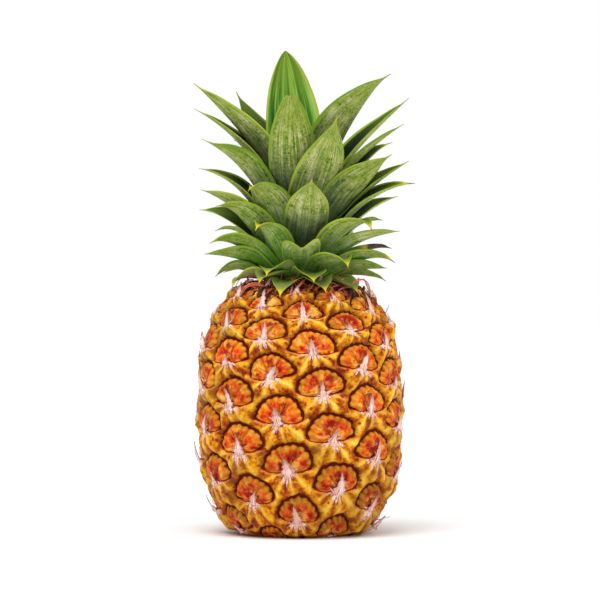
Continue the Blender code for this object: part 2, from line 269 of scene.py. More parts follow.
def fan_field(u, v, dice):
    """(share of the way from the fan's middle to its edge, distance inside the edge)."""
    lean, size = (dice[3] - 0.5) * 0.24, 1 + (dice[4] - 0.5) * 0.1
    rise = v - FAN_CENTRE
    u, rise = (u * cos(lean) + rise * sin(lean)) / size, (rise * cos(lean) - u * sin(lean)) / size
    theta = np.arctan2(rise, u)
    notch = 1.8 * np.exp(-((u / 3.0) ** 2))
    power = np.where(rise > 0, ARCH_POWER, FOOT_POWER)
    tall = np.where(rise > 0, FAN_TOP - FAN_CENTRE, FAN_CENTRE - FAN_BOTTOM - notch)
    wobble = 1 + 0.035 * np.sin(3 * theta + dice[0] * 9) + 0.025 * np.sin(5 * theta + dice[1] * 9)
    wobble += 0.014 * np.sin(13 * theta + dice[2] * 9)
    a, b = np.abs(u) / FAN_HALF_WIDTH + 1e-6, np.abs(rise) / tall + 1e-6
    share = (a**power + b**power) ** (1 / power) * wobble
    steep = share ** (1 - power) * np.hypot(a ** (power - 1) / FAN_HALF_WIDTH, b ** (power - 1) / tall)
    inside = np.clip((1 - share) / steep, -20, 10)
    return share, inside


def skin_fields(angle, depth):
    """For points of the rind: their eye, place in it, and distance inside the nearest fan."""
    count = len(angle)
    eye_of, nearest = np.zeros(count, int), np.full(count, 1e9)
    best = np.full(count, -1e9)
    fields = {name: np.zeros(count) for name in ("share", "below")}
    local = np.zeros((count, 2))
    for eye in range(FIRST_EYE, LAST_EYE + 1):
        u, v = eye_local(eye, angle, depth)
        near = (np.abs(u) < 30) & (np.abs(v) < 34)
        u, v = u[near], v[near]
        share, inside = fan_field(u, v, eye_dice(eye))
        where = np.flatnonzero(near)
        closer = inside > best[where]
        best[where[closer]] = inside[closer]
        below = np.clip((FAN_CENTRE - v) / (FAN_CENTRE - FAN_BOTTOM), -1, 1)
        fields["below"][where[closer]] = below[closer]
        reach = np.where(inside > 0, -100, np.hypot(u / 14, (v + 5) / 8))
        mine = reach < nearest[where]
        nearest[where[mine]] = reach[mine]
        eye_of[where[mine]] = eye
        local[where[mine], 0], local[where[mine], 1] = u[mine], v[mine]
        fields["share"][where[mine]] = share[mine]
    return eye_of, local, best, fields["share"], fields["below"]


def rind_height(eye_of, local, inside, share, below):
    """Height in millimetres of the rind above its grooves."""
    u, v = local[:, 0], local[:, 1]
    dice = np.array([eye_dice(eye) for eye in range(FIRST_EYE, LAST_EYE + 1)])[eye_of - FIRST_EYE]
    theta = np.arctan2(v - 0.5, u)
    low = smooth(below, 0.35, 0.75)
    groove = (RIND_HEIGHT - 1.7 * low) * np.exp(-((np.abs(inside) / (GROOVE_WIDTH - 0.6 * low)) ** 1.5))
    in_fan = smooth(inside, 0.0, 1.0)
    # The fan's rim is pleated, and creases part its three sepals
    pleats = np.abs(np.sin(theta * PLEATS + dice[:, 0] * 6))
    crease = 0.75 * (1 - pleats**0.7) * smooth(share, 0.45, 0.8)
    for middle in (0.95, 2.15):
        bend = theta - middle - 0.35 * (dice[:, 1] - 0.5)
        within = smooth(share, 0.1, 0.4) * (1 - smooth(share, 0.75, 0.98))
        crease += 1.1 * np.exp(-((bend / 0.14) ** 2)) * within
    pillow = 1.0 * np.sin(np.clip(share, 0, 1) * pi) - 1.9 * np.exp(-((share / 0.42) ** 2))
    # The bract rises to ridges midway between the fans and to a keel at its papery root
    roof = 0.5 * np.clip(-inside - 0.5, 0, 5)
    keel = 1.6 * np.exp(-((u / 3.2) ** 2) - ((v + 2.0) / 3.8) ** 2)
    folds = 0.8 * np.abs(np.sin(theta * 5 + dice[:, 1] * 5))
    height = RIND_HEIGHT - groove + in_fan * (pillow - crease)
    height += (1 - in_fan) * (roof + keel - folds * smooth(-inside, 0.4, 2.5))
    return height * (0.88 + 0.24 * dice[:, 2])


def make_rind(material):
    """One fine skin over the fruit, with the base's flat ring and the rim under the crown."""
    around = np.arange(SKIN_AROUND) * tau / SKIN_AROUND
    down = np.linspace(0, OUTLINE.length, SKIN_DOWN + 1)
    angle, depth = np.meshgrid(around, down)
    angle, depth = angle.ravel(), depth.ravel()
    eye_of, local, inside, share, below = skin_fields(angle, depth)
    fade = np.clip((OUTLINE.length - depth) / FLATTEN_OVER, 0, 1)
    fade *= smooth(depth, -1 * MM, 4 * MM)
    height = rind_height(eye_of, local, inside, share, below) * fade * MM
    points = OUTLINE.place(angle, depth, height)
    rings = [points.reshape(SKIN_DOWN + 1, SKIN_AROUND, 3)]
    for radius in (PLUG_RADIUS, STALK_RADIUS + 0.3 * MM):
        z = SEAT_Z if radius == PLUG_RADIUS else 0.0
        ring = np.stack([radius * np.sin(around), -radius * np.cos(around), np.full(SKIN_AROUND, z)], -1)
        rings = [ring[None]] + rings if z else rings + [ring[None]]
    points = np.concatenate(rings)
    rows = len(points)
    index = np.arange(rows * SKIN_AROUND).reshape(rows, SKIN_AROUND)
    a, b = index[:-1], index[1:]
    faces = np.stack([a, b, np.roll(b, -1, 1), np.roll(a, -1, 1)], -1).reshape(-1, 4)
    # Each face takes its place from one eye, so nothing smears across a groove
    row_of = np.concatenate([[0], down, [OUTLINE.length]])
    middle_angle = np.tile(around + pi / SKIN_AROUND, rows - 1)
    middle_depth = np.repeat((row_of[:-1] + row_of[1:]) / 2, SKIN_AROUND)
    face_eye = skin_fields(middle_angle, middle_depth)[0]
    after = around + tau / SKIN_AROUND
    corner_angle = np.tile(np.stack([around, around, after, after], -1), (rows - 1, 1))
    above, under = np.repeat(row_of[:-1], SKIN_AROUND), np.repeat(row_of[1:], SKIN_AROUND)
    corner_depth = np.stack([above, under, under, above], -1)
    eye_mm = np.zeros((len(faces), 4, 3))
    dice = np.zeros((len(faces), 4, 3))
    for eye in np.unique(face_eye):
        mine = face_eye == eye
        u, v = eye_local(eye, corner_angle[mine], corner_depth[mine])
        shared = fan_field(u, v, eye_dice(int(eye)))[0]
        eye_mm[mine] = np.stack([u, v, shared], -1)
        dice[mine] = eye_dice(int(eye))[:3]
    pad = SKIN_AROUND
    edge = np.concatenate([np.full(pad, inside[:pad]), inside, inside[-pad:]])
    low = np.concatenate([below[:pad], below, below[-pad:]])
    far = np.concatenate([np.zeros(pad), depth, np.full(pad, OUTLINE.length)]) / MM
    fields = {"groove": np.stack([edge, low, far], -1)}
    corner_fields = {"eye_mm": eye_mm.reshape(-1, 3), "eye_dice": dice.reshape(-1, 3)}
    return show("rind", points.reshape(-1, 3), faces, material, "fruit", fields, corner_fields)


def ripe_rind():
    """Waxy pineapple rind, grown: satin where its dusty bloom is rubbed, gold bracts, orange fans."""
    # The bloom hides most of the wax's shine
    rind, shader, add, link = new_material("waxy_pineapple_rind", ior=1.45, specular=0.15)
    (u, v, share), (luck_a, luck_b, luck_c), (inside, below, far) = (
        add("SeparateXYZ", add("Attribute", out="Vector", attribute_name=field), out=None)
        for field in ("eye_mm", "eye_dice", "groove")
    )
    where = add("TexCoord", out="Object")
    # Pores 1 mm across, grains 2 mm, mottling 4 mm and 7 mm, and drifts about 30 mm across, of ripeness and
    # of the painted shadow under the crown
    fine, grain, medium, soft, broad = (
        add("TexNoise", inputs={"Vector": where, "Scale": scale, "Detail": detail, "Roughness": roughness})
        for scale, detail, roughness in (
            (900, 3, 0.5), (520, 3, 0.7), (250, 4, 0.6), (140, 2, 0.5), (32, 2, 0.5),
        )
    )
    # Streaks that run out from the bract's root, broad ones and hair lines
    rise = add("Math", v, 0.5, operation="SUBTRACT")
    spoke = add("CombineXYZ", u, rise)
    reach = add("VectorMath", spoke, out="Value", operation="LENGTH")
    spoke = add("VectorMath", spoke, operation="NORMALIZE")
    shift = add("Math", luck_b, 30.0, add("Math", reach, 0.1, operation="MULTIPLY"), operation="MULTIPLY_ADD")
    shift = add("CombineXYZ", 0.0, 0.0, shift)
    wide_ray = add("VectorMath", spoke, (2.2, 2.2, 2.2), shift, operation="MULTIPLY_ADD")
    rays = add("TexNoise", inputs={"Vector": wide_ray, "Scale": 1.0, "Detail": 3, "Roughness": 0.6})
    thin_ray = add("VectorMath", spoke, (7.0, 7.0, 7.0), shift, operation="MULTIPLY_ADD")
    hairs = add("TexNoise", inputs={"Vector": thin_ray, "Scale": 1.0, "Detail": 3})
    # The same patterns about zero, which sway what they are added to
    fine_sway, soft_sway, medium_sway, broad_sway, speckle, ray_sway, hair_sway = (
        add("Math", pattern, 0.5, operation="SUBTRACT")
        for pattern in (fine, soft, medium, broad, grain, rays, hairs)
    )
    # The pleats of the fan's rim, as in the mesh
    theta = add("Math", rise, u, operation="ARCTAN2")
    swing = add("Math", luck_a, 6.0, operation="MULTIPLY")
    swing = add("Math", theta, float(PLEATS), swing, operation="MULTIPLY_ADD")
    scallop = add("Math", add("Math", swing, operation="SINE"), operation="ABSOLUTE")

    # Fans: three orange sepals, gold at the rim, red in the creases between them
    tone = 0.54
    for sway, amount in ((medium_sway, 0.7), (soft_sway, 1.2), (ray_sway, 0.7), (speckle, 0.6)):
        tone = add("Math", sway, amount, tone, operation="MULTIPLY_ADD")
    tone = add("Math", add("MapRange", share, 0.35, 0.95, -0.04, 0.1), tone, operation="ADD")
    tone = add("Math", add("MapRange", far, 45.0, 16.0, 0.0, 0.13), tone, operation="ADD")
    ripe = add("ValToRGB", tone, stops=[
        (0.22, "960C02"), (0.36, "D02E02"), (0.47, "E44A02"),
        (0.57, "EC6A08"), (0.7, "F4961C"), (0.84, "FCC65E"),
    ])
    old = add("ValToRGB", tone, stops=[
        (0.24, "5A0A02"), (0.36, "982002"), (0.47, "B43802"),
        (0.57, "C25A08"), (0.7, "CC8018"), (0.84, "E4AC4C"),
    ])
    # Eyes are ripest half-way up; the ones near the crown and the base, and a few others, have browned
    aged = add("Math", add("Math", far, 70.0, operation="SUBTRACT"), operation="ABSOLUTE")
    aged = add("MapRange", aged, 15.0, 100.0, 0.05, 0.85)
    own_age = add("Math", luck_c, 0.7, -0.15, operation="MULTIPLY_ADD")
    aged = add("Math", own_age, aged, operation="ADD", use_clamp=True)
    fan = add("MixRGB", aged, ripe, old)
    outer = add("Math", medium_sway, 0.9, share, operation="MULTIPLY_ADD")
    outer = add("Math", ray_sway, 0.6, outer, operation="MULTIPLY_ADD")
    outer = add("MapRange", outer, 0.6, 0.92, 0.0, 0.88, **SOFTLY)
    rim = add("MixRGB", aged, "CC7410", "86560C")
    fan = add("MixRGB", outer, fan, rim)
    # Painted highlight: each pleat of the rim catches the light as a small gold petal
    pleat_highlight = add("MapRange", add("Math", speckle, 0.6, scallop, operation="MULTIPLY_ADD"), 0.4, 0.9)
    pleat_highlight = add("Math", pleat_highlight, add("MapRange", share, 0.7, 0.88, 0.0, 0.75), operation="MULTIPLY")
    fan = add("MixRGB", pleat_highlight, fan, add("MixRGB", aged, "F6A42A", "BC8420"))
    # Painted highlight: a pale peach glow in the fan near the spear's root
    peach_highlight = add("MapRange", medium, 0.47, 0.6, **SOFTLY)
    peach_highlight = add("Math", peach_highlight, add("MapRange", share, 0.62, 0.2, 0.0, 0.8), operation="MULTIPLY")
    fan = add("MixRGB", peach_highlight, fan, "FFB864")
    # Creases between the three sepals are redder, partly their own colour and partly painted shade; thin
    # cracks are redder too
    bend = add("Math", add("Math", luck_b, -0.35, -1.375, operation="MULTIPLY_ADD"), theta, operation="ADD")
    bend = add("Math", add("Math", bend, operation="ABSOLUTE"), 0.6, operation="SUBTRACT")
    bend = add("Math", bend, operation="ABSOLUTE")
    bend = add("Math", bend, add("MapRange", hairs, 0.3, 0.7, -0.1, 0.1), operation="ADD")
    for pattern, low, high, edge, whole, amount, colour in (
        (bend, 0.22, 0.02, 0.98, 0.55, 0.6, "A82402"),
        (hairs, 0.42, 0.37, 0.95, 0.7, 0.5, "961C02"),
    ):
        mark = add("MapRange", pattern, low, high, **SOFTLY)
        mark = add("Math", mark, add("MapRange", share, edge, whole), operation="MULTIPLY")
        fan = add("MixRGB", add("Math", mark, amount, operation="MULTIPLY"), fan, colour)
    # Painted shade: a dark hollow where the middle sepal folds in; and scars about 2 mm across
    hollow_u = add("Math", luck_a, -9.0, add("Math", u, 4.5, operation="ADD"), operation="MULTIPLY_ADD")
    hollow_v = add("Math", v, 8.2, operation="SUBTRACT")
    sepal_fold_shade = add("CombineXYZ", add("Math", hollow_u, 1.3, operation="DIVIDE"), hollow_v)
    sepal_fold_shade = add("VectorMath", sepal_fold_shade, out="Value", operation="LENGTH")
    sepal_fold_shade = add("Math", add("MapRange", fine, 0.3, 0.7, -1.0, 1.0), sepal_fold_shade, operation="ADD")
    sepal_fold_shade = add("MapRange", sepal_fold_shade, 2.4, 0.9, 0.0, 0.85, **SOFTLY)
    fan = add("MixRGB", sepal_fold_shade, fan, "800806")
    scar = add("CombineXYZ", u, v, add("Math", luck_a, 90.0, operation="MULTIPLY"))
    scar = add("TexVoronoi", inputs={"Vector": scar, "Scale": 0.14}, out="Distance")
    scar = add("MapRange", scar, 0.17, 0.1, 0.0, 0.85, **SOFTLY)

    # Bracts: golden folds, with painted highlights on the pale ridges and painted shade in the olive hollows,
    # red lines and paper at the root
    fold = add("Math", theta, 5.0, add("Math", luck_b, 5.0, operation="MULTIPLY"), operation="MULTIPLY_ADD")
    fold = add("Math", add("Math", fold, operation="SINE"), operation="ABSOLUTE")
    # Painted shade in the hollows between the folds, painted highlight on their ridges
    tone = add("Math", fold, -0.24, 0.655, operation="MULTIPLY_ADD")
    for sway, amount in ((medium_sway, 0.45), (soft_sway, 0.35), (ray_sway, 0.8), (speckle, 0.5)):
        tone = add("Math", sway, amount, tone, operation="MULTIPLY_ADD")
    gold = add("ValToRGB", tone, stops=[
        (0.3, "7A2002"), (0.42, "AC4E02"), (0.52, "DA8A08"), (0.62, "F0AC18"), (0.76, "FBD256"),
    ])
    # Painted highlight along the fold ridges near the root
    ridge_highlight = add("MapRange", fold, 0.6, 0.05, **SOFTLY)
    ridge_highlight = add("Math", ridge_highlight, add("MapRange", reach, 15.0, 6.0, 0.0, 0.6), operation="MULTIPLY")
    gold = add("MixRGB", ridge_highlight, gold, "F8C85E")
    green = add("MapRange", broad, 0.46, 0.66, 0.0, 0.42)
    gold = add("MixRGB", green, gold, "8E7010")
    low = add("MapRange", below, 0.35, 0.75, **SOFTLY)
    # Painted shade on the bract beside a fan's groove, less under the fan
    groove_side_shade = add("MapRange", inside, -2.8, -0.7, 0.0, 0.65, **SOFTLY)
    groove_side_shade = add("Math", groove_side_shade, add("Math", 1.0, low, operation="SUBTRACT"), operation="MULTIPLY")
    gold = add("MixRGB", groove_side_shade, gold, "883604")
    lip = add("MapRange", inside, -1.8, -0.7, 0.0, 0.6, **SOFTLY)
    gold = add("MixRGB", add("Math", lip, low, operation="MULTIPLY"), gold, "F49A3A")
    line = add("MapRange", hairs, 0.455, 0.42, **SOFTLY)
    line = add("Math", line, add("MapRange", reach, 10.0, 6.0, 0.0, 0.9), operation="MULTIPLY")
    line = add("Math", line, add("MapRange", v, 0.0, -2.5), operation="MULTIPLY")
    gold = add("MixRGB", line, gold, "9A1E06")
    ragged = add("Math", hair_sway, 17.0, reach, operation="MULTIPLY_ADD")
    ragged = add("Math", ray_sway, 9.0, ragged, operation="MULTIPLY_ADD")
    paper = add("MapRange", ragged, 7.4, 4.2, 0.0, 0.9, **SOFTLY)
    flake = add("MixRGB", add("MapRange", fine, 0.36, 0.58), "CC8478", "FFE8E0")
    # Browner towards the base
    browner_to_base = add("MapRange", far, 115.0, 175.0, 0.0, 0.4)
    gold = add("MixRGB", browner_to_base, gold, "7E3A08")
    bract = add("MixRGB", paper, gold, flake)

    in_fan = add("MapRange", inside, -0.3, 0.3, **SOFTLY)
    body = add("MixRGB", in_fan, bract, fan)
    body = add("MixRGB", scar, body, "8C1202")
    # The groove: dark round the arch, partly its own dark colour and partly painted shade, scalloped inside
    # and ragged outside, thin and red under the fan
    width = add("Math", scallop, -0.7, 1.5, operation="MULTIPLY_ADD")
    ticks = add("MapRange", hairs, 0.36, 0.62, 0.35, 1.35)
    width = add("Mix", add("MapRange", inside, -0.05, 0.05), inputs={2: ticks, 3: width})
    width = add("Math", width, add("MapRange", low, 0.0, 1.0, 1.0, 0.42), operation="MULTIPLY")
    depth = add("Math", add("Math", inside, operation="ABSOLUTE"), width, operation="DIVIDE")
    depth = add("Math", fine_sway, 1.1, depth, operation="MULTIPLY_ADD")
    line = add("MapRange", depth, 1.1, 0.7, **SOFTLY)
    groove_colour_and_shade = add("MixRGB", low, "600A0A", "A01402")
    colour = add("MixRGB", add("Math", line, 0.96, operation="MULTIPLY"), body, groove_colour_and_shade)
    # Painted shadow, purple-brown in patches under the crown
    crown_shadow_patches = add("Math", medium_sway, 30.0, far, operation="MULTIPLY_ADD")
    crown_shadow_patches = add("Math", broad_sway, 70.0, crown_shadow_patches, operation="MULTIPLY_ADD")
    crown_shadow_patches = add("MapRange", crown_shadow_patches, 17.0, 9.0, 0.0, 0.92, **SOFTLY)
    colour = add("MixRGB", crown_shadow_patches, colour, "2C0A1C")
    link(colour, shader.inputs["Base Color"])

    rough = add("MapRange", medium, 0.3, 0.7, 0.42, 0.6)
    link(add("Math", line, 0.25, rough, operation="MULTIPLY_ADD"), shader.inputs["Roughness"])
    lift = add("Math", hairs, 0.4, operation="MULTIPLY")
    for pattern, amount in ((fine, 0.3), (rays, 0.8), (medium, 0.8), (line, -0.5)):
        lift = add("Math", pattern, amount, lift, operation="MULTIPLY_ADD")
    bump = add("Bump", inputs={"Strength": 1.0, "Distance": 0.9 * MM, "Height": lift})
    link(bump, shader.inputs["Normal"])
    return rind


def sheet_faces(rows, columns):
    """Faces of a thin sheet: the points of its upper side row by row, then those of its lower side."""
    faces, n, half = [], columns, rows * columns
    for i in range(rows - 1):
        for j in range(n - 1):
            a = i * n + j
            faces.append((a, a + 1, a + n + 1, a + n))
            faces.append((half + a, half + a + n, half + a + n + 1, half + a + 1))
        for a, b in ((i * n, i * n + n), (i * n + 2 * n - 1, i * n + n - 1)):
            faces.append((a, b, half + b, half + a))
    for j in range(n - 1):
        faces.append((j + 1, j, half + j, half + j + 1))
        a = (rows - 1) * n + j
        faces.append((a, a + 1, half + a + 1, half + a))
    return faces


def ribbon(path, widths, fold, normals, thickness):
    """A thin folded strip along a path: (points, faces, places along and across it)."""
    path = np.asarray(path, float)
    along = np.gradient(path, axis=0)
    along /= np.linalg.norm(along, axis=1)[:, None]
    normals = np.asarray(normals, float)
    across = np.cross(along, normals)
    across /= np.linalg.norm(across, axis=1)[:, None]
    up = np.cross(across, along)
    columns = (-1.0, -0.5, 0.0, 0.5, 1.0)
    rows, points, places = len(path), [], []
    for side in (1, -1):
        for i in range(rows):
            for c in columns:
                lift = fold * widths[i] * (1 - abs(c)) + side * thickness / 2 * (1 - 0.7 * abs(c))
                points.append(path[i] + across[i] * c * widths[i] / 2 + up[i] * lift)
                places.append((i / (rows - 1), c, side))
    return points, sheet_faces(rows, len(columns)), places


def gather(parts):
    """Joins (points, faces, places) parts into one mesh's lists, with a random number each."""
    points, faces, places, luck = [], [], [], []
    for number, (part_points, part_faces, part_places) in enumerate(parts):
        start = len(points)
        points += part_points
        places += part_places
        faces += [tuple(start + i for i in face) for face in part_faces]
        luck += [Random(number).random()] * len(part_points)
    return points, faces, places, luck


def strand(angle, depth, height, length, direction, curl, rise, fall):
    """A line that starts on the rind and curls away from it: its points and its outward direction."""
    _, _, normal_r, normal_z = OUTLINE.at(depth)
    place = OUTLINE.place(angle, depth, height)
    tangent = np.array([cos(angle), sin(angle), 0.0])
    up_slope = np.array([-normal_z * sin(angle), normal_z * cos(angle), normal_r])
    outward = np.array([normal_r * sin(angle), -normal_r * cos(angle), normal_z])
    points = []
    for i in range(STRAND_STEPS + 1):
        points.append(place)
        turn, bend = direction + curl * i / STRAND_STEPS, rise - fall * i / STRAND_STEPS
        heading = (up_slope * cos(turn) + tangent * sin(turn)) * cos(bend) + outward * sin(bend)
        place = place + heading * length / STRAND_STEPS
    points = np.array(points)
    points[:, 2] = np.maximum(points[:, 2], 0.4 * MM)
    return points, [outward] * len(points)


def make_bract_tips(paper, fibre):
    """The papery spear of each bract lies over its fan, and some have torn fibres beside them."""
    spears, fibres = [], []
    for eye in range(FIRST_EYE, LAST_EYE + 1):
        draw = Random(50 + eye)
        root_depth = row_depth(eye / EYES_PER_ROW)
        angle = EYE_ZERO_ANGLE + EYE_TURN * eye
        if not 2 * MM < root_depth < OUTLINE.length - 7 * MM:
            continue
        size = min(eye_scale(eye)[1] / CELL_DOWN, 1.0)
        fade = min(1.0, (OUTLINE.length - root_depth) / FLATTEN_OVER)
        kind = draw.random()
        length = (draw.uniform(10, 15) if kind > 0.25 else draw.uniform(6, 9)) * size * MM
        length *= blend(root_depth, [(14 * MM, 1.5), (40 * MM, 1.0)])
        wide = draw.uniform(5.6, 8.6) * size * MM
        start = root_depth + 3.2 * MM
        path, normals = strand(
            angle, min(start, OUTLINE.length - 5 * MM), (2.9 * fade + 0.3) * MM, length,
            draw.uniform(-0.3, 0.3), draw.uniform(-0.7, 0.7), draw.uniform(0.2, 0.36), draw.uniform(0.1, 0.6),
        )
        taper = [(0, 0.5), (0.12, 1), (0.3, 0.72), (0.55, 0.46), (0.8, 0.24), (1, 0.03)]
        widths = [wide * (1 + 0.36 * draw.uniform(-1, 1)) * blend(x, taper) for x in STRAND_SHARES]
        spears.append(ribbon(path, widths, draw.uniform(0.15, 0.4), normals, SPEAR_THICKNESS))
        for side in draw.choice(((-1,), (1,), (-1, 1))):
            # A sliver split from the spear's root lies beside it
            path, normals = strand(
                angle + side * draw.uniform(0.0, 0.03), start - draw.uniform(0, 2) * MM,
                (2.7 * fade + 0.3) * MM, draw.uniform(3.5, 7) * size * MM, side * draw.uniform(0.3, 1.2),
                draw.uniform(-0.8, 0.8), draw.uniform(0.1, 0.35), draw.uniform(0.0, 0.5),
            )
            widths = [draw.uniform(1.6, 3.2) * MM * (1.02 - x) for x in STRAND_SHARES]
            spears.append(ribbon(path, widths, draw.uniform(0.1, 0.4), normals, SLIVER_THICKNESS))
        for _ in range(draw.choice((0, 1, 2))):
            # A fibre torn from the spear, which curls away from the rind
            side = draw.choice((-1, 1))
            path, normals = strand(
                angle + side * 0.02, root_depth - draw.uniform(0, 4) * MM, 3.0 * fade * MM,
                draw.uniform(5, 10) * size * MM, side * draw.uniform(0.1, 1.0), draw.uniform(-1.6, 1.6),
                draw.uniform(0.1, 0.8), draw.uniform(-0.3, 2.4),
            )
            thick = draw.uniform(0.45, 0.8) * MM
            widths = [thick * (1.05 - x) for x in STRAND_SHARES]
            fibres.append(ribbon(path, widths, 0.3, normals, STRIP_THICKNESS))
    for name, parts, material in (("bract_tips", spears, paper), ("torn_fibres", fibres, fibre)):
        points, faces, places, luck = gather(parts)
        show(name, points, faces, material, "fruit", {"strip": places, "luck": luck})


def make_dry_strips(material):
    """Curled remains of bracts where the fruit meets the crown: arches over a flat tangle."""
    parts, draw = [], Random(11)
    for number in range(DRY_STRIPS):
        angle = tau * number / DRY_STRIPS + draw.uniform(-0.05, 0.05)
        depth, broad, arched = draw.uniform(1, 14) * MM, draw.random() < 0.4, draw.random() < 0.42
        if arched:
            depth, broad, length = depth + 3 * MM, False, draw.uniform(9, 19) * MM
            rise, fall = draw.uniform(0.5, 1.1), draw.uniform(1.6, 2.8)
            direction, curl = draw.uniform(-1.3, 1.3), draw.uniform(-1.8, 1.8)
        else:
            length, rise, fall = draw.uniform(7, 15) * MM, draw.uniform(-0.1, 0.5), draw.uniform(0.2, 1.0)
            direction, curl = draw.uniform(-2.2, 2.2), draw.uniform(-3.2, 3.2)
        path, normals = strand(angle, depth, draw.uniform(0.6, 2.4) * MM, length, direction, curl, rise, fall)
        width = (draw.uniform(2.2, 4.2) if broad else draw.uniform(0.9, 1.9)) * MM
        taper = [(0, 0.7), (0.3, 1), (0.7, 0.6), (1, 0.06)]
        widths = [width * blend(x, taper) * draw.uniform(0.8, 1.2) for x in STRAND_SHARES]
        parts.append(ribbon(path, widths, draw.uniform(-0.3, 0.4), normals, STRIP_THICKNESS))
    for azimuth, depth, length, width, direction, rise in RIM_LOOPS:
        path, normals = strand(
            radians(azimuth), depth * MM, 1.5 * MM, length * MM, direction, 1.4 * direction, rise, 2.2 * rise,
        )
        widths = [width * MM * blend(x, [(0, 0.7), (0.3, 1), (0.7, 0.7), (1, 0.1)]) for x in STRAND_SHARES]
        parts.append(ribbon(path, widths, 0.3, normals, STRIP_THICKNESS))
    points, faces, places, luck = gather(parts)
    return show("dry_strips", points, faces, material, "fruit", {"strip": places, "luck": luck})


def bract_paper(name, pale, brown, worn_from):
    """Bract dried to paper: matt and fibrous, so it stays soft beside the waxy rind."""
    paper, shader, add, link = new_material(name, roughness=0.7, ior=1.45, specular=0.3)
    strip = add("Attribute", out="Vector", attribute_name="strip")
    luck = add("Attribute", out="Fac", attribute_name="luck")
    along, across, _ = add("SeparateXYZ", strip, out=None)
    drawn_out = add("CombineXYZ", add("Math", across, 6.0, operation="MULTIPLY"), along)
    shift = add("Math", luck, 50.0, operation="MULTIPLY")
    drawn_out = add("VectorMath", drawn_out, add("CombineXYZ", 0.0, 0.0, shift), operation="ADD")
    fibres = add("TexNoise", inputs={"Vector": drawn_out, "Scale": 1.6, "Detail": 4})
    light = add("ValToRGB", fibres, stops=pale)
    dark = add("ValToRGB", fibres, stops=brown)
    edge = add("MapRange", add("Math", across, operation="ABSOLUTE"), 0.65, 1.0)
    worn = add("Math", edge, add("MapRange", along, worn_from, 1.0), operation="MAXIMUM")
    worn = add("Math", worn, add("MapRange", luck, 0.0, 1.0, 0.5, 1.0), operation="MULTIPLY")
    link(add("MixRGB", worn, light, dark), shader.inputs["Base Color"])
    bump = add("Bump", inputs={"Strength": 0.6, "Distance": 0.3 * MM, "Height": fibres})
    link(bump, shader.inputs["Normal"])
    return paper


def leaf_plans():
    """(azimuth, reach, tip height, width, start tilt, end tilt, roll, root radius, root height)."""
    draw = Random(LEAF_SEED)
    tips = [
        (radians(azimuth), reach * MM, height * MM, width * MM, radians(end), radians(roll))
        for azimuth, reach, height, width, end, roll in NOTED_LEAVES
    ]
    for i in range(BACK_LEAVES):
        azimuth = (LEAF_TURN * i + pi) % tau - pi
        share = i / (BACK_LEAVES - 1)
        height = blend(share, [(0, 140 * MM), (0.8, 222 * MM), (1, 232 * MM)])
        spread = blend(share, [(0, 0.88), (0.25, 1), (0.45, 0.95), (0.6, 0.8), (1, 0.7)])
        reach = 57 * MM * spread * draw.uniform(0.95, 1.05)
        width = blend(share, [(0, 16 * MM), (1, 28 * MM)]) * draw.uniform(0.92, 1.08)
        end = radians(blend(share, [(0, 125), (0.4, 90), (1, 50)]) + draw.uniform(-14, 14))
        if abs(azimuth) > BACK_FROM:
            tips.append((azimuth, reach, height, width, end, 0.0))
    plans = [with_root(*tip) for tip in tips]
    for i in range(HEART_LEAVES):
        share = i / (HEART_LEAVES - 1)
        height = HEART_FROM_Z + share * (HEART_TO_Z - HEART_FROM_Z)
        reach = blend(share, [(0, 22 * MM), (1, 7 * MM)])
        root = STEM_TOP_RADIUS * (1 - 0.6 * share)
        plans.append((LEAF_TURN * i, reach, height, 17 * MM, 0.05, 0.25, 0.0, root, SEAT_Z + STEM_HEIGHT))
    return plans


def with_root(azimuth, reach, height, width, end, roll):
    """Low tips belong to old leaves, which root low on the stem and start out flatter."""
    age = min(max((height - LOWEST_TIP_Z) / (HIGHEST_TIP_Z - LOWEST_TIP_Z), 0), 1)
    start = radians(blend(age, [(0, 66), (0.1, 58), (0.3, 46), (0.5, 34), (0.8, 19), (1, 9)]))
    root_radius = STEM_RADIUS + age * (STEM_TOP_RADIUS - STEM_RADIUS)
    root_height = SEAT_Z + blend(age, [(0, 2 * MM), (1, STEM_HEIGHT - 2 * MM)])
    return azimuth, reach, height, width, start, end, roll, root_radius, root_height


def leaf_middle(plan, x):
    """(radius, height, tilt) at the share x of a leaf's middle line, a curve to its tip."""
    _, reach, height, _, start, end, _, root_radius, root_height = plan
    tip = Vector((reach, height))
    head, tail = Vector((sin(start), cos(start))), Vector((sin(end), cos(end)))
    root = Vector((root_radius, root_height)) - head * LEAF_ROOT
    pull = 0.38 * (tip - root).length
    a, b, c, d = root, root + head * pull, tip - tail * pull, tip
    y = 1 - x
    point = a * y**3 + b * 3 * y * y * x + c * 3 * y * x * x + d * x**3
    along = (b - a) * y * y + (c - b) * 2 * y * x + (d - c) * x * x
    return point.x, point.y, atan2(along.x, along.y)


def leaf_width(x, kind):
    """Share of the full width: broad, then an ogive that ends in a narrow spine."""
    if x < 0.42:
        return 0.8 + 0.2 * sin(pi / 2 * x / 0.42)
    if kind == "broad":
        return max((1 - min((x - 0.42) / 0.58, 1.0) ** 2.4) ** 0.75, 0.03)
    if kind == "blunt":
        return (1 - ((x - 0.42) / 0.615) ** 2.4) ** 0.8
    share = min((x - 0.42) / 0.55, 1.0)
    return max((1 - share**2.4) ** 1.2, min(0.1, 0.012 + 0.85 * (1 - x)))


